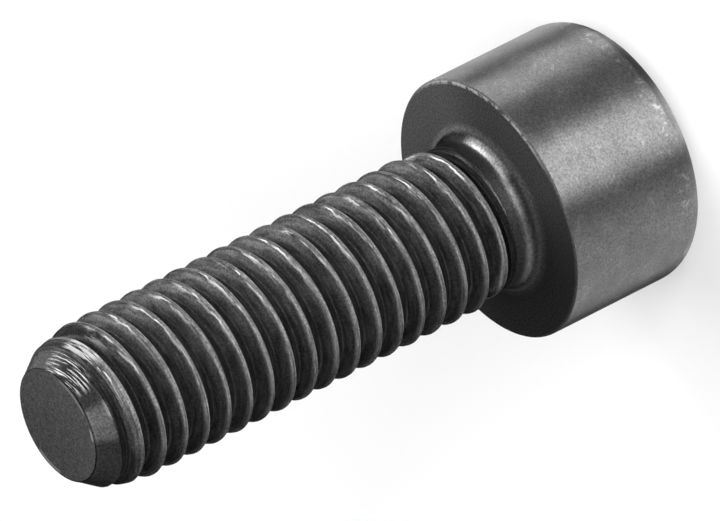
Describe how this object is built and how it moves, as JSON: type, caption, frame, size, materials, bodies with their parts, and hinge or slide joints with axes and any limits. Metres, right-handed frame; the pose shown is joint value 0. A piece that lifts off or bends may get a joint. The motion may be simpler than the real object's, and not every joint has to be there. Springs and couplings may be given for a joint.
{
  "type": "cylinder head screw",
  "caption": "Blackened steel cylinder head screw with a hexagon socket, a right-hand thread up to the head and a chamfered point.",
  "frame": {"origin": "centre of the flat top of the head, on which the screw stands", "axes": "+Z along the screw's axis from the head towards the tip; X and Y are across the axis, with two flats of the socket square to Y"},
  "size_m": [0.013, 0.013, 0.0329],
  "materials": {
    "black_steel": "black oxide, satin"
  },
  "bodies": {
    "root": {"screw": "black_steel"}
  },
  "joints": []
}
